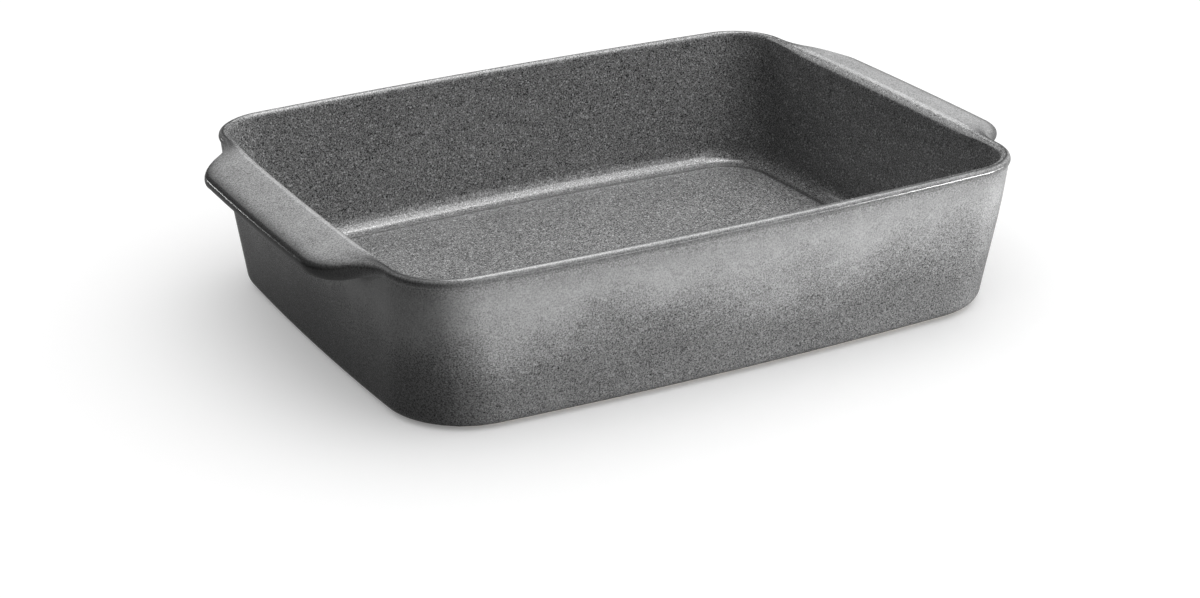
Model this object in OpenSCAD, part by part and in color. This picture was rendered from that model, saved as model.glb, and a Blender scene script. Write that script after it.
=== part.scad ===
// Rectangular stoneware baking dish with a rolled lip that is drawn out into two wing handles.
// The dish is one firing. It is built here from the sub-parts that a potter makes it of: the
// pressed basin, the two handles luted to its ends, the bare foot that it stands on, and the
// two coats of glaze, which meet on the crest of the lip.
// Each is a loft of wall sections, one in each column of the plan, so that neighbours lie face
// to face. The origin is on the table below the middle of the dish, X runs along the
// length from handle to handle, Y across it, and Z up.

/* [Mouth] */
// Length of the mouth over the lip, without the handles
mouth_length = 318; // [240:1:420]
// Width of the mouth over the lip
mouth_width = 260; // [200:1:320]
// Height from the table to the crest of the lip
dish_height = 75; // [55:1:110]
// Corner radius of the lip, seen from above
corner_r = 30; // [26:1:50]
// How far the middle of each long side swells out
long_bow = 3.5; // [1:0.5:9]
// How far the middle of each end swells out
end_bow = 1.8; // [1:0.2:5]

/* [Wall] */
// Thickness of the rolled lip
lip_t = 5.1; // [4.5:0.1:7]
// Depth of the crevice under the lip, outside
lip_step = 0.6; // [0.3:0.1:1.4]
// Radius that the glaze leaves in the crevice
crevice_r = 0.8; // [0.6:0.1:1.5]
// How far the middle of each end has drawn in at the heel
end_draw = 3.8; // [3:0.2:10]
// How far the middle of each long side has drawn in at the heel
side_draw = 6.8; // [4:0.2:12]
// Corner radius of the dish at the heel, seen from below
heel_corner_r = 41; // [28:1:52]
// How far the wall swells out between the lip and the heel
wall_swell = 0.9; // [0:0.1:1.5]
// Radius of the heel, outside
heel_r = 6; // [5:0.5:9]
// Thickness of the wall at its foot
wall_t = 6.4; // [5:0.2:8]
// Radius of the cove where the wall meets the floor, inside
cove_r = 9; // [6:0.5:11]
// Depth of the gutter at the foot of the cove
gutter_d = 0.5; // [0.2:0.1:1]
// Thickness of the floor
floor_t = 6.4; // [5:0.2:9]

/* [Foot] */
// Height of the bare foot
foot_h = 1.2; // [0.8:0.1:3]
// Width of the bare foot
foot_w = 5; // [3:0.2:7]
// How far the foot stands in from the end of the heel
foot_set = 0.8; // [0.2:0.2:2]

/* [Glaze] */
// Thickness of both coats of glaze
glaze_t = 0.5; // [0.3:0.1:0.8]
// Width of the bare band round the heel, above the foot
bare_band = 2.6; // [1.5:0.1:3.5]

/* [Handles] */
// How far each handle reaches out from the lip
handle_reach = 21; // [14:0.5:28]
// Thickness of the handle, whose edge is a full round
handle_t = 6.3; // [5:0.1:9]
// How much thicker the handle gets at its two flanks
flank_t = 2.8; // [0:0.2:3.4]
// Slope of the handle, down and away from the lip, in degrees
handle_slope = 11.5; // [4:0.5:16]
// Radius of the two outer corners, seen from above
handle_corner_r = 25; // [15:0.5:28]
// Radius of the two hollows where the handle runs into the lip
handle_hollow_r = 22.5; // [15:0.5:26]
// Radius of the fillet between the underside of the handle and the wall
under_r = 6; // [4:0.5:8]

/* [Hidden] */
$fn = 96;

clay = "tan";
bare_clay = "wheat";
glaze = "dimgray";

// Steps of each arc of the plan and of the wall section
turn_steps = 4;
corner_steps = 6;
long_steps = 4;
edge_steps = 5;
lip_steps = 3;
heel_steps = 2;
cove_steps = 5;
// Places of the points between the crest and the round edge, and round the crevice
top_shares = [1 / 3, 2 / 3];
crevice_shares = [0.2, 0.6, 1];
// Where the round edge starts, as an angle: on the plain lip and at the handle's full reach
lip_start = 50;
edge_start = 76;
// Where the wall swells out most, on its way from the lip to the heel
swell_share = 1 / 3;
// Film between the basin and what lies face to face with it, so that no facets cross
seam = 0.02;

// Centres of the arcs of the wall section, drawn with the lip's outermost line on x = 0 and
// the basin at x < 0
lip_r = lip_t / 2;
edge_r = handle_t / 2;
heel_inset = (end_draw + side_draw) / 2;
lip_c = [-lip_r, dish_height - lip_r];
heel_c = [-heel_inset - heel_r, foot_h + heel_r];
cove_c = [-heel_inset - wall_t - cove_r, foot_h + floor_t - gutter_d + cove_r];
// Lean of the straight line that touches a circle at a, of radius ra, and one at b, of radius rb
function lean(a, ra, b, rb) = acos((ra + rb) / norm(b - a)) - atan2(a[1] - b[1], a[0] - b[0]);
in_lean = lean(lip_c, lip_r, cove_c, cove_r);
// The wall is two straight lines outside, which meet where it swells out most: the upper one
// touches the circle under the crevice, and the lower one the heel
flat_lean = lean(lip_c, lip_step - lip_r, heel_c, heel_r);
flat_dir = [cos(flat_lean), -sin(flat_lean)];
swell_at = mix(lip_c + (lip_r - lip_step) * flat_dir, heel_c + heel_r * flat_dir, swell_share)
    + wall_swell * flat_dir;
out_lean = lean(lip_c, lip_step - lip_r, swell_at, 0);
low_lean = lean(swell_at, 0, heel_c, heel_r);
out_dir = [cos(out_lean), -sin(out_lean)];
down_dir = [-sin(out_lean), -cos(out_lean)];
// Distance of the upper line from the origin of the section
wall_at = lip_c * out_dir + lip_r - lip_step;
// Where the coat outside stops on the heel, and where the cove has risen to the floor
bare_turn = -acos(bare_band / heel_r);
floor_turn = -90 - acos(1 - gutter_d / cove_r);

function on_arc(c, r, turn) = c + r * [cos(turn), sin(turn)];
function steps(from, to, n, first = 0) = [for (i = [first:n]) from + (to - from) * i / n];
function mix(a, b, share) = a + (b - a) * share;

// The outside of the dish in section, from the crest of the lip to the bare band, where the
// lip is drawn out by reach, with skin taken off the finished face
function outer_path(reach, skin) =
    let (
        full = reach / handle_reach,
        flank = sqrt(full * (1 - full)),
        r = mix(lip_r, edge_r, full) + flank * flank_t,
        c = [reach - r, dish_height - reach * tan(handle_slope) - r],
        hollow = mix(crevice_r, under_r, sqrt(full)),
        slope = handle_slope * full,
        off = c * out_dir - wall_at - hollow,
        under_at = r + hollow - c[0] * sin(slope) - c[1] * cos(slope),
        // The fillet touches the wall, and either the round edge or the flat underside
        touch = off > (r + hollow) * sin(slope - out_lean)
            ? [(wall_at + hollow) * cos(slope) - under_at * sin(out_lean),
                -under_at * cos(out_lean) - (wall_at + hollow) * sin(slope)]
                / cos(out_lean - slope)
            : c - off * out_dir + sqrt(pow(r + hollow, 2) - off * off) * down_dir,
        end = off > (r + hollow) * sin(slope - out_lean)
            ? -90 - slope
            : atan2(touch[1] - c[1], touch[0] - c[0]),
        start = mix(lip_start, edge_start, full),
        crest = [lip_c[0], dish_height - skin],
        first = on_arc(c, r - skin, start)
    )
    concat(
        [crest],
        [for (share = top_shares)
            [mix(crest[0], first[0], share),
                mix(crest[1], first[1], pow(share, 2 + flank - full / 2))]],
        [for (turn = steps(start, end, edge_steps)) on_arc(c, r - skin, turn)],
        [for (share = crevice_shares)
            on_arc(touch, hollow + skin, mix(end + 180, 180 - out_lean, share))],
        [swell_at - skin * out_dir],
        [for (turn = steps(-low_lean, bare_turn, heel_steps)) on_arc(heel_c, heel_r - skin, turn)]
    );
// Number of its points on the lip or handle, above the plain wall
handle_points = 2 + len(top_shares) + edge_steps + len(crevice_shares);

// The inside of the dish in section, from the crest of the lip to the edge of the floor
function inner_path(skin) =
    concat(
        [for (turn = steps(90, 180 - in_lean, lip_steps)) on_arc(lip_c, lip_r - skin, turn)],
        [for (turn = steps(-in_lean, floor_turn, cove_steps)) on_arc(cove_c, cove_r + skin, turn)]
    );

// How far the handle reaches out at each column of an end, with the column's distance from
// the middle: two arcs, the corner and the hollow, end where the corner of the dish begins
function handle_run(end) =
    let (
        turn = acos(1 - handle_reach / (handle_corner_r + handle_hollow_r)),
        edge = end - (handle_corner_r + handle_hollow_r) * sin(turn)
    )
    concat(
        [[0, handle_reach], [edge / 2, handle_reach], [edge, handle_reach]],
        [for (a = steps(0, turn, turn_steps, 1))
            [edge + handle_corner_r * sin(a), handle_reach - handle_corner_r * (1 - cos(a))]],
        [for (a = steps(turn, 0, turn_steps, 1))
            [end - handle_hollow_r * sin(a), handle_hollow_r * (1 - cos(a))]]
    );

// A quarter of the plan, from the middle of the right end to the middle of a long side: four
// arcs, each touching the next. A column is its place, its outward direction and its reach.
function quarter(half_l, half_w, r) =
    let (
        x = half_l - r - end_bow,
        y = half_w - r - long_bow,
        long_r = (x * x + long_bow * (long_bow + 2 * r)) / (2 * long_bow),
        end_r = (y * y + end_bow * (end_bow + 2 * r)) / (2 * end_bow),
        long_join = atan2(y - half_w + long_r, x),
        end_join = atan2(y, x - half_l + end_r),
        end_length = end_r * end_join * PI / 180
    )
    concat(
        [for (run = handle_run(end_length))
            column([half_l - end_r, 0], end_r, end_join * run[0] / end_length, run[1])],
        [for (turn = steps(end_join, long_join, corner_steps, 1)) column([x, y], r, turn, 0)],
        [for (turn = steps(long_join, 90, long_steps, 1))
            column([0, half_w - long_r], long_r, turn, 0)]
    );
function column(c, r, turn, reach) = [on_arc(c, r, turn), [cos(turn), sin(turn)], reach];
function flip(col, f) =
    [[col[0][0] * f[0], col[0][1] * f[1]], [col[1][0] * f[0], col[1][1] * f[1]], col[2]];

// The whole plan, anticlockwise from the middle of the right end
function round_plan(part) =
    let (last = len(part) - 1)
    concat(
        part,
        [for (i = [last - 1:-1:0]) flip(part[i], [-1, 1])],
        [for (i = [1:last]) flip(part[i], [-1, -1])],
        [for (i = [last - 1:-1:1]) flip(part[i], [1, -1])]
    );
lip_plan = round_plan(quarter(mouth_length / 2, mouth_width / 2, corner_r));
heel_plan = round_plan(quarter(mouth_length / 2 - end_draw, mouth_width / 2 - side_draw,
    heel_corner_r));
columns = [for (i = [0:len(lip_plan) - 1]) i];
// Columns of the right handle, whose reach is over zero, from its near end to its far end
side_columns = 2 + 2 * turn_steps;
handle_columns = [for (i = [-side_columns + 1:side_columns - 1])
    (i + len(lip_plan)) % len(lip_plan)];

// A section's point in column i, which drifts from the plan of the lip to that of the heel
function spot(i, p) =
    let (
        lip = lip_plan[i],
        drift = heel_plan[i][0] - lip[0] + heel_inset * lip[1],
        share = max(0, min(1, (lip_c[1] - p[1]) / (lip_c[1] - heel_c[1]))),
        place = lip[0] + p[0] * lip[1] + share * drift
    )
    [place[0], place[1], p[1]];
function reversed(list) = [for (i = [len(list) - 1:-1:0]) list[i]];
function part_of(list, first, last) = [for (i = [first:last]) list[i]];

// Skins rows of points, one row for each column. Rows that close make a ring or a bar, and
// columns that close make a ring; what stays open is closed by flat ends.
module loft(rows, rows_close, columns_close)
{
    n = len(rows[0]);
    m = len(rows);
    function at(j, k) = (j % m) * n + k % n;
    polyhedron(
        points = [for (row = rows) each row],
        faces = concat(
            [for (j = [0:m - (columns_close ? 1 : 2)], k = [0:n - (rows_close ? 1 : 2)])
                each [[at(j, k), at(j + 1, k), at(j + 1, k + 1)],
                    [at(j, k), at(j + 1, k + 1), at(j, k + 1)]]],
            columns_close ? [] : [[for (k = [0:n - 1]) at(0, k)],
                [for (k = [n - 1:-1:0]) at(m - 1, k)]],
            rows_close ? [] : [[for (j = [m - 1:-1:0]) at(j, 0)],
                [for (j = [0:m - 1]) at(j, n - 1)]]
        ),
        convexity = 6
    );
}

module basin()
{
    skin = glaze_t + seam;
    section = concat(
        [on_arc(heel_c, heel_r - skin, -90)],
        reversed(outer_path(0, skin)),
        part_of(inner_path(skin), 1, lip_steps + cove_steps + 1)
    );
    color(clay)
        loft([for (i = columns) [for (p = section) spot(i, p)]], false, true);
}

// Bare foot, a flat ring under the heel
module foot_ring()
{
    function outline(x) = [for (col = heel_plan) col[0] + x * col[1]];
    color(bare_clay)
        linear_extrude(foot_h + glaze_t)
            difference()
            {
                polygon(outline(-heel_r - foot_set));
                polygon(outline(-heel_r - foot_set - foot_w));
            }
}

// The clay of the right handle, between the bare lip and the lip drawn out
module handle()
{
    bare = part_of(outer_path(0, glaze_t), 1, handle_points - 1);
    loft([for (i = handle_columns)
        [for (p = concat(part_of(outer_path(lip_plan[i][2], glaze_t), 0, handle_points - 1),
            reversed(bare))) spot(i, p)]], true, false);
}

module handle_right()
{
    color(clay) handle();
}

module handle_left()
{
    color(clay) mirror([1, 0, 0]) handle();
}

// Coat of glaze inside, from the crest of the lip down and across the floor
module glaze_inside()
{
    section = concat(reversed(inner_path(glaze_t)), inner_path(0));
    color(glaze)
        loft([for (i = columns) [for (p = section) spot(i, p)]], false, true);
}

// Coat of glaze outside, unbroken over the wall and both handles, down to the bare band
module glaze_outside()
{
    color(glaze)
        loft([for (i = columns)
            [for (p = concat(outer_path(lip_plan[i][2], 0),
                reversed(outer_path(lip_plan[i][2], glaze_t)))) spot(i, p)]], true, true);
}

basin();
foot_ring();
handle_left();
handle_right();
glaze_inside();
glaze_outside();
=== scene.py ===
"""Rectangular stoneware baking dish in a grey speckled glaze, on a pale studio floor.

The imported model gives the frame. The clay basin and both coats of glaze are drawn again here as
finer meshes, by the same sizes, wall section and plan. The handles and the foot ring stay as
packed. All of them get procedural finishes.
"""

import math

import bmesh
import bpy
import numpy as np
from mathutils import Matrix, Vector


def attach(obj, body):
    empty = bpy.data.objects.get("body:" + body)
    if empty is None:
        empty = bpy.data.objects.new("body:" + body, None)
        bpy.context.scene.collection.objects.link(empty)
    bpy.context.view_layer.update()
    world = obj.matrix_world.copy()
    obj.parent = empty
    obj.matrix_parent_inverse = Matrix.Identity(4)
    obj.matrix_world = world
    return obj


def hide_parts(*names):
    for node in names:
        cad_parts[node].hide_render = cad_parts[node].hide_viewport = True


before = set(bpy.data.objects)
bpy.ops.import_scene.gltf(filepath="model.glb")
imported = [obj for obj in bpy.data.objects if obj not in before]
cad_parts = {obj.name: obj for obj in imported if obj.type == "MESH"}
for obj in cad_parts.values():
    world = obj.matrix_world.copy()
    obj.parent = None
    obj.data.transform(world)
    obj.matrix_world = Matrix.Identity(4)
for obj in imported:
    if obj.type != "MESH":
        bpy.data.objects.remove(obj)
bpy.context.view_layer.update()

MM = 0.001

# Sizes of the dish in millimetres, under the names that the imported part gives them

# Mouth: length, width and height over the lip, its corners, and how far its sides swell out
mouth_length = 318
mouth_width = 260
dish_height = 75
corner_r = 30
long_bow = 3.5
end_bow = 1.8

# Wall: lip and crevice, draw to the heel, swell, heel, cove with its gutter, and floor
lip_t = 5.1
lip_step = 0.6
crevice_r = 0.8
end_draw = 3.8
side_draw = 6.8
heel_corner_r = 41
wall_swell = 0.9
heel_r = 6
wall_t = 6.4
cove_r = 9
gutter_d = 0.5
floor_t = 6.4

# Foot and glaze
foot_h = 1.2
glaze_t = 0.5
bare_band = 2.6

# Handles, with their slope in degrees
handle_reach = 21
handle_t = 6.3
flank_t = 2.8
handle_slope = 11.5
handle_corner_r = 25
handle_hollow_r = 22.5
under_r = 6

# Film between the clay and its coats
seam = 0.02
# Width of the flat strip that both coats share on the crest of the lip
crest_strip = 0.05
# Radius of the inner edge of the lip above a handle
inner_r = 5
# Where the wall swells out most, and how far from there its two straight lines are rounded off
swell_share = 1 / 3
swell_round = 12
# Angles at which the round edge starts, on the plain lip and at the handle's full reach
lip_start = 50
edge_start = 76

# The wall section, with the lip's outermost line on x = 0 and the basin at x < 0


def sin(a):
    return math.sin(math.radians(a))


def cos(a):
    return math.cos(math.radians(a))


def atan2(y, x):
    return math.degrees(math.atan2(y, x))


def acos(x):
    return math.degrees(math.acos(x))


def mix(a, b, share):
    return a + (b - a) * share


def lean(a, ra, b, rb):
    """Lean of the straight line that touches a circle at a, of radius ra, and one at b."""
    return acos((ra + rb) / np.linalg.norm(b - a)) - atan2(a[1] - b[1], a[0] - b[0])


# Centres of the arcs
lip_r = lip_t / 2
edge_r = handle_t / 2
heel_inset = (end_draw + side_draw) / 2
lip_c = np.array([-lip_r, dish_height - lip_r])
heel_c = np.array([-heel_inset - heel_r, foot_h + heel_r])
cove_c = np.array([-heel_inset - wall_t - cove_r, foot_h + floor_t - gutter_d + cove_r])

# The wall is one straight line inside and two outside, which meet where it swells out most
in_lean = lean(lip_c, lip_r, cove_c, cove_r)
flat_lean = lean(lip_c, lip_step - lip_r, heel_c, heel_r)
flat_dir = np.array([cos(flat_lean), -sin(flat_lean)])
swell_at = ((lip_c + (lip_r - lip_step) * flat_dir) * (1 - swell_share)
            + (heel_c + heel_r * flat_dir) * swell_share + wall_swell * flat_dir)
out_lean = lean(lip_c, lip_step - lip_r, swell_at, 0)
low_lean = lean(swell_at, 0, heel_c, heel_r)
out_dir = np.array([cos(out_lean), -sin(out_lean)])
down_dir = np.array([-sin(out_lean), -cos(out_lean)])
# Distance of the upper line from the origin of the section
wall_at = lip_c @ out_dir + lip_r - lip_step
# Where the coat outside stops on the heel, and where the cove has risen to the floor
bare_turn = -acos(bare_band / heel_r)
floor_turn = -90 - acos(1 - gutter_d / cove_r)

# Steps along the section, where a step of the wall is in millimetres and of a turn in degrees
wall_step = 2.6
turn_step = 5.0
top_steps = 14
edge_steps = 16
under_steps = 6
crevice_steps = 10
upper_steps = 4
swell_steps = 8
lower_steps = 10
heel_steps = round((90 - out_lean) / turn_step)
bead_steps = 16
wall_steps = round((dish_height - 2 * heel_r) / wall_step)
cove_steps = round(90 / turn_step)
# Rings of the flat floor, at these distances from its edge
floor_insets = (1.2, 3, 8)


def on_arc(c, r, turn):
    return np.array([c[0] + r * cos(turn), c[1] + r * sin(turn)])


def arc(c, r, start, end, n, first=0):
    """n steps along an arc, from its first point or the next."""
    return [on_arc(c, r, mix(start, end, i / n)) for i in range(first, n + 1)]


def run(a, b, n):
    """The points between a and b on a straight line, without either."""
    return [mix(a, b, i / n) for i in range(1, n)]


def wall(a, corner, b):
    """The outer wall between a and b: two straight lines with their corner rounded off."""
    top = mix(corner, a, min(swell_round / np.linalg.norm(a - corner), 0.5))
    low = mix(corner, b, swell_round / np.linalg.norm(b - corner))
    shares = [i / swell_steps for i in range(swell_steps + 1)]
    bend = [mix(mix(top, corner, s), mix(corner, low, s), s) for s in shares]
    return run(a, top, upper_steps) + bend + run(low, b, lower_steps)


def crest_at(reach):
    """Place of the crest, and the radius from there inwards: softer above a handle."""
    r = mix(lip_r, inner_r, reach / handle_reach)
    return lip_c[0] + (r - lip_r) * (1 - sin(in_lean)) / cos(in_lean), r


def outer_path(reach, skin):
    """The outside from the crest of the lip to the bare band, where the lip is drawn out by
    reach, with skin taken off the finished face."""
    full = reach / handle_reach
    flank = math.sqrt(full * (1 - full))
    r = mix(lip_r, edge_r, full) + flank * flank_t
    c = np.array([reach - r, dish_height - reach * math.tan(math.radians(handle_slope)) - r])
    hollow = mix(crevice_r, under_r, math.sqrt(full))
    slope = handle_slope * full
    off = c @ out_dir - wall_at - hollow

    # The hollow touches the wall, and either the flat underside or the round edge
    if off > (r + hollow) * sin(slope - out_lean):
        under_at = r + hollow - c[0] * sin(slope) - c[1] * cos(slope)
        touch = np.array([
            (wall_at + hollow) * cos(slope) - under_at * sin(out_lean),
            -under_at * cos(out_lean) - (wall_at + hollow) * sin(slope),
        ]) / cos(out_lean - slope)
        end = -90 - slope
    else:
        touch = c - off * out_dir + math.sqrt((r + hollow) ** 2 - off * off) * down_dir
        end = atan2(touch[1] - c[1], touch[0] - c[0])

    # From the crest the top falls off as a power of the distance, to the start of the round edge
    start = mix(lip_start, edge_start, full)
    crest = np.array([crest_at(reach)[0], dish_height - skin])
    first = on_arc(c, r - skin, start)
    power = 2 + flank - full / 2
    points = [crest, crest + [crest_strip, 0]]
    for i in range(1, top_steps):
        share = i / top_steps
        points.append(np.array([
            mix(crest[0], first[0], share),
            mix(crest[1], first[1], share ** power),
        ]))

    points += arc(c, r - skin, start, end, edge_steps)
    points += run(points[-1], on_arc(touch, hollow + skin, end + 180), under_steps)
    points += arc(touch, hollow + skin, end + 180, 180 - out_lean, crevice_steps)
    points += wall(points[-1], swell_at - skin * out_dir, on_arc(heel_c, heel_r - skin, -low_lean))
    points += arc(heel_c, heel_r - skin, -low_lean, bare_turn, heel_steps)
    return points


def inner_path(reach, skin):
    """The inside from the crest of the lip to the flat of the floor."""
    x, r = crest_at(reach)
    crest = np.array([x, dish_height - skin])
    points = [crest, crest - [crest_strip, 0]]
    points += arc((x, dish_height - r), r - skin, 90, 180 - in_lean, bead_steps, first=1)
    cove_top = on_arc(cove_c, cove_r + skin, -in_lean)
    points += run(points[-1], cove_top, wall_steps)
    points += arc(cove_c, cove_r + skin, -in_lean, floor_turn, cove_steps)
    points += [points[-1] - [inset, 0] for inset in floor_insets]
    return points


# The plan, in millimetres: columns of place, outward direction and reach

corner_step = 1.6
long_step = 3.1
corner_steps = round(math.radians(90) * corner_r / corner_step)
long_steps = round(mouth_length / 2 / long_step)
straight_steps = 24
bend_steps = 18


def handle_run(end):
    """Distance from the middle of the end, and reach, of each column of a quarter."""
    turn = acos(1 - handle_reach / (handle_corner_r + handle_hollow_r))
    edge = end - (handle_corner_r + handle_hollow_r) * sin(turn)
    out = [(edge * i / straight_steps, handle_reach) for i in range(straight_steps + 1)]
    for i in range(1, bend_steps + 1):
        a = turn * i / bend_steps
        out.append((edge + handle_corner_r * sin(a), handle_reach - handle_corner_r * (1 - cos(a))))
    for i in range(bend_steps - 1, -1, -1):
        a = turn * i / bend_steps
        out.append((end - handle_hollow_r * sin(a), handle_hollow_r * (1 - cos(a))))
    return out


def quarter(half_l, half_w, r):
    """Columns from the middle of the right end to the middle of the far long side."""
    x = half_l - r - end_bow
    y = half_w - r - long_bow
    long_r = (x * x + long_bow * (long_bow + 2 * r)) / (2 * long_bow)
    end_r = (y * y + end_bow * (end_bow + 2 * r)) / (2 * end_bow)
    long_join = atan2(y - half_w + long_r, x)
    end_join = atan2(y, x - half_l + end_r)
    end_length = math.radians(end_join) * end_r

    def column(c, radius, turn, reach):
        return np.array([*on_arc(c, radius, turn), cos(turn), sin(turn), reach])

    out = [
        column((half_l - end_r, 0), end_r, end_join * s / end_length, reach)
        for s, reach in handle_run(end_length)
    ]
    out += [
        column((x, y), r, mix(end_join, long_join, i / corner_steps), 0)
        for i in range(1, corner_steps + 1)
    ]
    out += [
        column((0, half_w - long_r), long_r, mix(long_join, 90, i / long_steps), 0)
        for i in range(1, long_steps + 1)
    ]
    return np.array(out)


def round_plan(part):
    """The whole plan, anticlockwise from the middle of the right end."""
    flip_x = np.array([-1, 1, -1, 1, 1])
    flip_y = np.array([1, -1, 1, -1, 1])
    return np.vstack([
        part,
        (part * flip_x)[-2::-1],
        (part * flip_x * flip_y)[1:],
        (part * flip_y)[-2:0:-1],
    ])


lip_plan = round_plan(quarter(mouth_length / 2, mouth_width / 2, corner_r))
heel_plan = round_plan(quarter(mouth_length / 2 - end_draw, mouth_width / 2 - side_draw,
                               heel_corner_r))
column_reach = lip_plan[:, 4]


def place(i, p):
    """A section's point in column i, which drifts from the lip's plan to the heel's."""
    lip = lip_plan[i]
    drift = heel_plan[i][:2] - lip[:2] + heel_inset * lip[2:4]
    share = max(0, min(1, (lip_c[1] - p[1]) / (lip_c[1] - heel_c[1])))
    spot = lip[:2] + p[0] * lip[2:4] + share * drift
    return spot[0], spot[1], p[1]


# The meshes

# Faces that meet at more than this angle, in degrees, show a sharp edge
sharp_turn = 40


def skin_mesh(name, rows, rows_close, painted_light):
    """One closed mesh through rows of points, one row for each column. The last argument gives
    for each point the shade painted into its glaze, up to 1, or the highlight painted, down to -1."""
    m, n = len(rows), len(rows[0])
    points = np.array(rows).reshape(-1, 3) * MM
    faces = [
        (j * n + k, (j + 1) % m * n + k,
         (j + 1) % m * n + (k + 1) % n, j * n + (k + 1) % n)
        for j in range(m)
        for k in range(n if rows_close else n - 1)
    ]
    if not rows_close:
        faces.append(tuple(j * n for j in range(m)))
        faces.append(tuple(j * n + n - 1 for j in range(m)))
    mesh = bpy.data.meshes.new(name)
    mesh.from_pydata(points.tolist(), [], faces)
    # Painted light for each point: painted shade where positive, painted highlight where negative
    mesh.attributes.new("painted_light", "FLOAT", "POINT").data.foreach_set("value", painted_light)
    bm = bmesh.new()
    bm.from_mesh(mesh)
    bmesh.ops.recalc_face_normals(bm, faces=bm.faces)
    bm.to_mesh(mesh)
    bm.free()
    mesh.shade_smooth()
    mesh.set_sharp_from_angle(angle=math.radians(sharp_turn))
    piece = bpy.data.objects.new(name, mesh)
    bpy.context.scene.collection.objects.link(piece)
    return piece


def even(reach, count):
    return [0.0] * count


def loft(name, node, section, rows_close=False, painted_light_of=even):
    """A piece through the section of each column, all round the dish, in place of a node."""
    rows = [[place(i, p) for p in section(reach)] for i, reach in enumerate(column_reach)]
    # Shade and highlight painted into each point's glaze, as the given function lays them out
    painted_light = [t for reach in column_reach for t in painted_light_of(reach, len(rows[0]))]
    piece = skin_mesh(name, rows, rows_close, painted_light)
    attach(piece, "root")
    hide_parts(node)
    return piece


def coat_inside(reach):
    return inner_path(reach, glaze_t)[::-1] + inner_path(reach, 0)


def coat_outside(reach):
    return outer_path(reach, 0) + outer_path(reach, glaze_t)[::-1]


def clay_basin(reach):
    skin = glaze_t + seam
    return ([on_arc(heel_c, heel_r - skin, -90)] + outer_path(0, skin)[:top_steps:-1]
            + inner_path(reach, skin)[1:])


# Strength of the shade painted outside: on the plain lip's crest, on its bead, in the crevice
# below it, and round the edge of a handle, where the band is cut off at 1 and so is broad
lip_shade = 0.95
bead_shade = 0.7
crevice_shade = 0.43
edge_shade = 1.7
# The same painted shade inside: on the plain lip, and in the gutter round the floor
inner_lip_shade = 0.57
gutter_shade = 0.75

# Middle and half width of each band, in steps from the crest along the section
crest_band = (0.35 * top_steps, 0.9 * top_steps)
edge_middle = top_steps + 1 + 0.4 * edge_steps
edge_band = (edge_middle, 0.68 * edge_steps)
bead_band = (edge_middle, 0.75 * edge_steps)
crevice_band = (top_steps + 1 + edge_steps + under_steps + crevice_steps / 2, crevice_steps)
inner_lip_band = 8
# Band of painted highlight along the inner crest above a handle
highlight_band = (0, 13)
gutter_half = 0.2 * cove_steps


def bell(x, middle, half):
    """1 in the middle, and 0 further than half away from it."""
    return max(0.0, 1 - ((x - middle) / half) ** 2) ** 2


def painted_shade_outside(reach, count):
    """Painted shade over the round edge of a handle, or over the crest and bead of the plain lip,
    and in the crevice or hollow below."""
    full = reach / handle_reach
    return [
        full * min(1.0, edge_shade * bell(i, *edge_band))
        + (1 - full) * lip_shade * bell(i, *crest_band)
        + (1 - full) * bead_shade * bell(i, *bead_band)
        + crevice_shade * bell(i, *crevice_band)
        for i in range(count)
    ]


def painted_light_inside(reach, count):
    """Painted shade on the inner side of the plain lip and along the gutter, and painted highlight
    on the crest above a handle, given as negative values. The coat's hidden side comes first."""
    full = reach / handle_reach
    half = count // 2
    gutter_middle = half - len(floor_insets) - gutter_half
    return [0.0] * half + [
        (1 - full) * inner_lip_shade * max(0.0, 1 - i / inner_lip_band) ** 2
        - full * bell(i, *highlight_band)
        + gutter_shade * bell(i, gutter_middle, gutter_half)
        for i in range(count - half)
    ]


inside = loft("coat_inside", "glaze_inside", coat_inside, painted_light_of=painted_light_inside)
outside = loft("coat_outside", "glaze_outside", coat_outside, rows_close=True,
               painted_light_of=painted_shade_outside)
basin = loft("clay_basin", "basin", clay_basin)

# Materials

# Nearly all of a noise lies between these values
noise_low = 0.3
noise_high = 0.7


def grey(level):
    return level, level, level, 1


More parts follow.
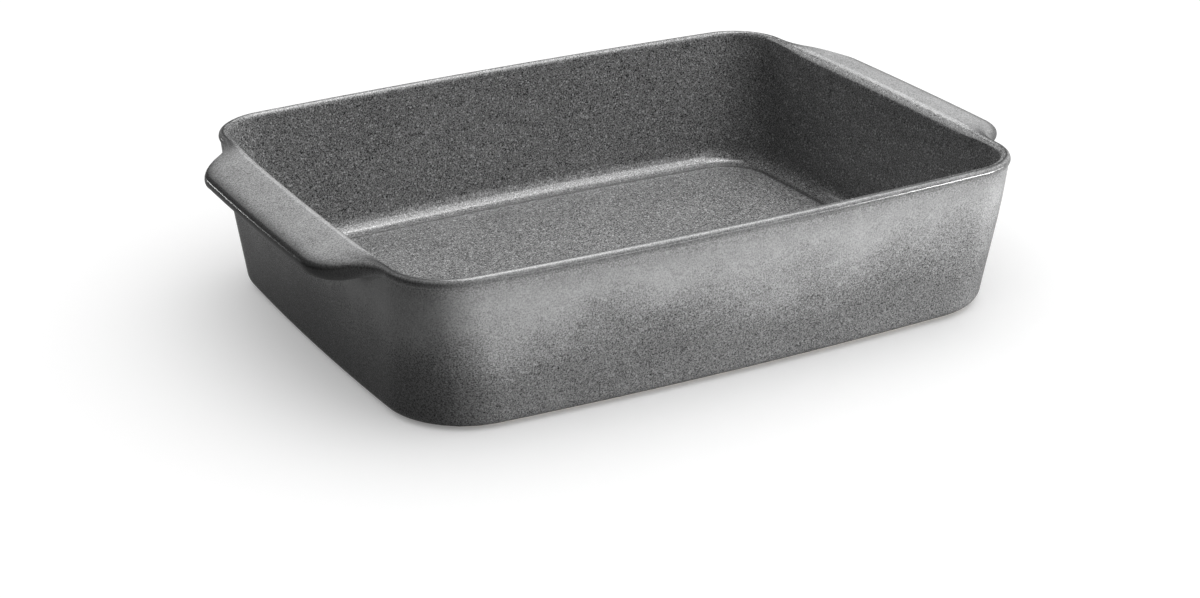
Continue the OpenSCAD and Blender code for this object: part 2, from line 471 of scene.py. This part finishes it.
class Nodes:
    """Short calls for the nodes of one material or world."""

    def __init__(self, owner):
        owner.use_nodes = True
        self.owner = owner
        self.tree = owner.node_tree

    def link(self, value, socket):
        if isinstance(value, bpy.types.NodeSocket):
            self.tree.links.new(value, socket)
        else:
            socket.default_value = value

    def add(self, kind, *values, **settings):
        node = self.tree.nodes.new(kind)
        for key, value in settings.items():
            setattr(node, key, value)
        for value, socket in zip(values, node.inputs):
            self.link(value, socket)
        return node

    def math(self, operation, *values):
        return self.add("ShaderNodeMath", *values, operation=operation).outputs[0]

    def spot(self):
        """The place in the part's frame, in metres."""
        return self.add("ShaderNodeTexCoord").outputs["Object"]

    def noise(self, spot, size, detail, rough=0.5):
        """Noise with features of about this size, in millimetres."""
        node = self.add("ShaderNodeTexNoise")
        self.link(spot, node.inputs["Vector"])
        self.link(1 / (size * MM), node.inputs["Scale"])
        self.link(detail, node.inputs["Detail"])
        self.link(rough, node.inputs["Roughness"])
        return node.outputs["Fac"]

    def cells(self, spot, size):
        """Distance to the middle of the nearest cell, in cells, and a number for each cell."""
        node = self.add("ShaderNodeTexVoronoi")
        self.link(spot, node.inputs["Vector"])
        self.link(1 / (size * MM), node.inputs["Scale"])
        split = self.add("ShaderNodeSeparateColor", node.outputs["Color"])
        return node.outputs["Distance"], split.outputs[0]

    def span(self, value, low, high, first=0.0, last=1.0, smooth=False):
        """value from low to high becomes first to last, and stays there beyond."""
        node = self.add("ShaderNodeMapRange", value, low, high, first, last)
        if smooth:
            node.interpolation_type = "SMOOTHSTEP"
        return node.outputs[0]

    def sway(self, noise, amount):
        """A noise turned into a change by this amount up or down."""
        return self.span(noise, noise_low, noise_high, -amount, amount)

    def blend(self, share, first, second):
        """A mix of two colours, which are inputs 6 and 7 and output 2 of their node."""
        node = self.add("ShaderNodeMix", data_type="RGBA")
        self.link(share, node.inputs[0])
        self.link(first, node.inputs[6])
        self.link(second, node.inputs[7])
        return node.outputs[2]

    def bump(self, height, distance):
        """A normal for relief of this height at most, in millimetres."""
        node = self.add("ShaderNodeBump")
        self.link(1.0, node.inputs["Strength"])
        self.link(distance * MM, node.inputs["Distance"])
        self.link(height, node.inputs["Height"])
        return node.outputs[0]


# Size of the patterns in the glaze, in millimetres
grain_size = 0.65
fleck_size = 1.0
mottle_size = 7
cloud_size = 34
# A fleck's soft edge, in cells, and the numbers of the cells with a pale or a dark one
fleck_edge = (0.3, 0.55)
pale_cells = (0.75, 0.95)
dark_cells = (0.03, 0.2)
dark_grain = 0.5
# Share of the tone that is taken off again, because the flecks raise its mean
fleck_mean = 0.05
# Share by which mottling and clouds change the tone
mottle_tone = 0.07
cloud_tone = 0.06
# How far grain and clouds move the change of tone up and down the wall, in millimetres
grain_wander = 5
cloud_wander = 8
# Heights, in millimetres, between which the grain turns to that of the flat of the handles
flat_heights = (66, 71)
# Share of its tone that glaze keeps under full painted shade, and of tone and grain under full
# painted highlight
shade_tone = 0.12
highlight_tone = 2.3
highlight_grain = 0.35
# The glaze goes from black at tone 0 to the colour glaze_top at tone_top
tone_top = 0.6
glaze_top = (0.598, 0.6, 0.602, 1)
glaze_ior = 1.5
glaze_rough = 0.2
rough_sway = 0.04
# Relief of the glaze, in millimetres, and the share of grain and pale flecks in it
glaze_relief = 0.10
grain_relief = 0.05
pale_relief = 0.03


def glaze_material(name, tones, grains, turn, flat_grain, pale_grain):
    """Grey satin glaze: a dark glass with pale and dark grains. Its tone and the strength of
    its grain change between two heights, in millimetres, over a mottled edge. Shade and
    highlight are painted into its tone by a point attribute."""
    n = Nodes(bpy.data.materials.new(name))
    spot = n.spot()
    height = n.add("ShaderNodeSeparateXYZ", spot).outputs[2]
    # Painted light from the mesh: painted shade where positive, painted highlight where negative
    painted_light = n.add("ShaderNodeAttribute", attribute_name="painted_light").outputs["Fac"]
    cloud = n.noise(spot, cloud_size, 3)
    mottle = n.noise(spot, mottle_size, 3, 0.6)
    grain = n.noise(spot, grain_size, 2, 0.6)
    away, kind = n.cells(spot, fleck_size)
    fleck = n.span(away, *fleck_edge, 1.0, 0.0, smooth=True)
    pale = n.math("MULTIPLY", fleck, n.span(kind, *pale_cells))
    dark = n.math("MULTIPLY", fleck, n.span(kind, *dark_cells, 1.0, 0.0))

    wander = n.math("ADD", n.sway(grain, grain_wander * MM), n.sway(cloud, cloud_wander * MM))
    low, high = turn
    rise = n.span(n.math("ADD", height, wander), low * MM, high * MM, smooth=True)

    low, high = flat_heights
    change = n.math("MULTIPLY_ADD", pale, pale_grain, n.sway(grain, 1.0))
    change = n.math("MULTIPLY_ADD", dark, -dark_grain, change)
    change = n.math("SUBTRACT", change, fleck_mean * (1 + pale_grain))
    change = n.math("MULTIPLY", change, n.span(rise, 0, 1, *grains))
    change = n.math("MULTIPLY", change, n.span(height, low * MM, high * MM, 1.0, flat_grain))
    change = n.math("MULTIPLY", change, n.span(painted_light, -1, 0, highlight_grain, 1.0))
    change = n.math("ADD", change, n.sway(mottle, mottle_tone))
    change = n.math("ADD", change, n.sway(cloud, cloud_tone))

    tone = n.math("MULTIPLY", n.span(rise, 0, 1, *tones), n.math("ADD", change, 1.0))
    # Painted shade darkens the tone and painted highlight lightens it
    tone = n.math("MULTIPLY", tone, n.span(painted_light, 0, 1, 1.0, shade_tone))
    tone = n.math("MULTIPLY", tone, n.span(painted_light, -1, 0, highlight_tone, 1.0))

    rough = n.span(n.math("ADD", grain, mottle), 2 * noise_low, 2 * noise_high,
                   glaze_rough - rough_sway, glaze_rough + rough_sway)
    relief = n.math("MULTIPLY_ADD", grain, grain_relief, mottle)
    relief = n.math("MULTIPLY_ADD", pale, pale_relief, relief)

    shader = n.tree.nodes["Principled BSDF"].inputs
    n.link(n.blend(n.span(tone, 0.0, tone_top), grey(0.0), glaze_top), shader["Base Color"])
    n.link(rough, shader["Roughness"])
    n.link(glaze_ior, shader["IOR"])
    n.link(n.bump(relief, glaze_relief), shader["Normal"])
    return n.owner


# Size of the patterns in the clay, in millimetres
sand_size = 0.8
clay_cloud_size = 40
speck_size = 3.2
# A speck's edge, in cells, the numbers of the cells with one, and how much it covers the clay
speck_edge = (0.1, 0.2)
speck_cells = (0.7, 0.8)
speck_cover = 0.7
speck_tone = (0.1, 0.08, 0.065, 1)
clay_tone = (0.50, 0.45, 0.39)
# Share of its tone that clay has where it is dark and where it is light
clay_shares = (0.86, 1.1)
clay_blend = (0.7, 1.3)
clay_rough = (0.8, 0.92)
clay_relief = 0.12


def clay_material(name):
    """Bare fired stoneware: matt, faintly sandy, with a few dark iron specks."""
    n = Nodes(bpy.data.materials.new(name))
    spot = n.spot()
    cloud = n.noise(spot, clay_cloud_size, 3)
    sand = n.noise(spot, sand_size, 3, 0.65)
    away, kind = n.cells(spot, speck_size)
    speck = n.math("MULTIPLY", n.span(away, *speck_edge, 1.0, 0.0), n.span(kind, *speck_cells))
    deep, light = (tuple(c * share for c in clay_tone) + (1,) for share in clay_shares)
    body = n.blend(n.span(n.math("ADD", sand, cloud), *clay_blend), deep, light)
    cover = n.math("MULTIPLY", speck, speck_cover)

    shader = n.tree.nodes["Principled BSDF"].inputs
    n.link(n.blend(cover, body, speck_tone), shader["Base Color"])
    n.link(n.span(sand, noise_low, noise_high, *clay_rough), shader["Roughness"])
    n.link(n.bump(sand, clay_relief), shader["Normal"])
    return n.owner


# Tones and strengths of the grain are those low and high on the wall. Outside, the tone that
# rises more than twofold towards the top is painted light: the upper wall and the handles
# lighter as if lit by the floor's reflection, the lower wall darker as in the shade near the foot.
glaze_in = glaze_material("speckled_glaze_inside", tones=(0.215, 0.215), grains=(1.05, 1.05),
                          turn=(20, 60), flat_grain=1.0, pale_grain=1.35)
# Its tone rising from 0.19 low to 0.405 high is painted light
glaze_out = glaze_material("speckled_glaze_outside", tones=(0.19, 0.405), grains=(0.8, 0.28),
                           turn=(22, 60), flat_grain=1.9, pale_grain=0.5)
clay = clay_material("fired_clay")
bare_clay = clay_material("bare_clay")
for piece, finish, slot in ((inside, glaze_in, "glaze"), (outside, glaze_out, "glaze"),
                            (basin, clay, "clay")):
    piece.data.materials.append(finish)
for name, finish in (("handle_left", clay), ("handle_right", clay), ("foot_ring", bare_clay)):
    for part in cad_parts[name].material_slots:
        part.material = finish

# Camera

camera_target = Vector((-44.99, -76.45, 30)) * MM
camera_distance = 1161.4 * MM
camera_azimuth = -27.55
camera_elevation = 22.74
camera_roll = -1.10
camera_lens = 77.54
camera_sensor = 36


def direction(azimuth, elevation):
    """Away from the dish, by azimuth from the front towards +X and by elevation, in degrees."""
    return Vector((sin(azimuth) * cos(elevation), -cos(azimuth) * cos(elevation),
                   sin(elevation)))


def add_camera():
    back = direction(camera_azimuth, camera_elevation)
    right = Vector((cos(camera_azimuth), sin(camera_azimuth), 0))
    up = back.cross(right)
    x = cos(camera_roll) * right + sin(camera_roll) * up
    y = back.cross(x)
    data = bpy.data.cameras.new("camera")
    data.lens = camera_lens
    data.sensor_width = camera_sensor
    camera = bpy.data.objects.new("camera", data)
    spot = camera_target + back * camera_distance
    camera.matrix_world = Matrix.Translation(spot) @ Matrix((x, y, back)).transposed().to_4x4()
    bpy.context.scene.collection.objects.link(camera)
    bpy.context.scene.camera = camera


add_camera()

# Floor and world

floor_half = 3.0
floor_white = 0.85
floor_glow = 0.2
# What lights the dish from the floor and the world, and the share of their white it mirrors
floor_dim = 0.22
world_dim = 0.03
white_gloss = 0.1


def seen_share(n):
    """1 for a ray that shows the background itself, and white_gloss for one that mirrors it."""
    rays = n.add("ShaderNodeLightPath").outputs
    seen = n.math("MAXIMUM", rays["Is Camera Ray"], rays["Is Transmission Ray"])
    return n.math("MAXIMUM", seen, n.math("MULTIPLY", rays["Is Glossy Ray"], white_gloss))


def add_floor():
    """A pale floor, white to the camera. It gives back less light than it shows."""
    mesh = bpy.data.meshes.new("floor")
    s = floor_half
    mesh.from_pydata([(-s, -s, 0), (s, -s, 0), (s, s, 0), (-s, s, 0)], [], [(0, 1, 2, 3)])
    floor = bpy.data.objects.new("floor", mesh)
    bpy.context.scene.collection.objects.link(floor)
    n = Nodes(bpy.data.materials.new("floor"))
    n.tree.nodes.remove(n.tree.nodes["Principled BSDF"])
    white = n.add("ShaderNodeBsdfDiffuse", grey(floor_white))
    dim = n.add("ShaderNodeBsdfDiffuse", grey(floor_dim))
    glow = n.add("ShaderNodeEmission", grey(1.0), floor_glow)
    bright = n.add("ShaderNodeAddShader", white.outputs[0], glow.outputs[0])
    both = n.add("ShaderNodeMixShader", seen_share(n), dim.outputs[0], bright.outputs[0])
    n.link(both.outputs[0], n.tree.nodes["Material Output"].inputs["Surface"])
    mesh.materials.append(n.owner)
    return floor


def add_world():
    """Dim to the dish and white to the camera, as the floor is."""
    world = bpy.data.worlds.new("world")
    bpy.context.scene.world = world
    n = Nodes(world)
    background = n.tree.nodes["Background"].inputs
    n.link(grey(1.0), background["Color"])
    n.link(n.span(seen_share(n), 0, 1, world_dim, 1.0), background["Strength"])


floor = add_floor()
add_world()

# Light


def light_group(name, pieces, state):
    """What a lamp shines on: these pieces alone, or all but these."""
    group = bpy.data.collections.new(name)
    for piece in pieces:
        group.objects.link(piece)
    for entry in group.collection_objects:
        entry.light_linking.link_state = state
    return group


on_dish = light_group("all_but_floor", [floor], "EXCLUDE")
on_outside = light_group("all_but_floor_and_inside", [floor, inside], "EXCLUDE")
on_inside = light_group("inside_alone", [inside], "INCLUDE")
on_floor = light_group("floor_alone", [floor], "INCLUDE")

# Name, direction in degrees, size in metres, strength, and what it shines on
lamp_rows = [
    ("key", (84, 70), (0.9, 0.9), 0.54, on_dish),
    ("top", (140, 70), (0.7, 0.7), 0.35, on_dish),
    ("low", (46, 4.3), (0.7, 0.22), 0.96, on_outside),
    ("side", (70, 4.3), (0.5, 0.22), 0.14, on_outside),
    ("front", (20, 4.3), (0.5, 0.22), 0.09, on_outside),
    ("line", (53, 55), (1.0, 0.12), 0.12, on_dish),
    ("fill", (40, 38), (2.2, 1.6), 0.42, on_inside),
    ("back", (148, 47), (0.9, 0.6), 0.17, on_dish),
    ("lip", (34, 38), (1.4, 0.12), 0.10, on_outside),
    ("crest", (204, 24), (1.3, 0.9), 0.22, on_inside),
    ("nose", (208, 5), (0.3, 0.06), 0.03, on_outside),
    ("dome", (80, 74), (9.0, 9.0), 9.4, on_floor),
]
lamp_distance = 1.6


def add_lamp(name, turn, size, strength, group):
    """A soft oval lamp. A small one of strength 1 shows a white surface that faces it as
    white."""
    back = direction(*turn)
    data = bpy.data.lights.new(name, "AREA")
    data.shape = "ELLIPSE"
    data.size, data.size_y = size
    data.energy = strength * (math.pi * lamp_distance) ** 2
    lamp = bpy.data.objects.new(name, data)
    lamp.location = back * lamp_distance
    lamp.rotation_euler = back.to_track_quat("Z", "Y").to_euler()
    lamp.light_linking.receiver_collection = group
    bpy.context.scene.collection.objects.link(lamp)


for row in lamp_rows:
    add_lamp(*row)

bpy.context.scene.view_settings.view_transform = "Standard"
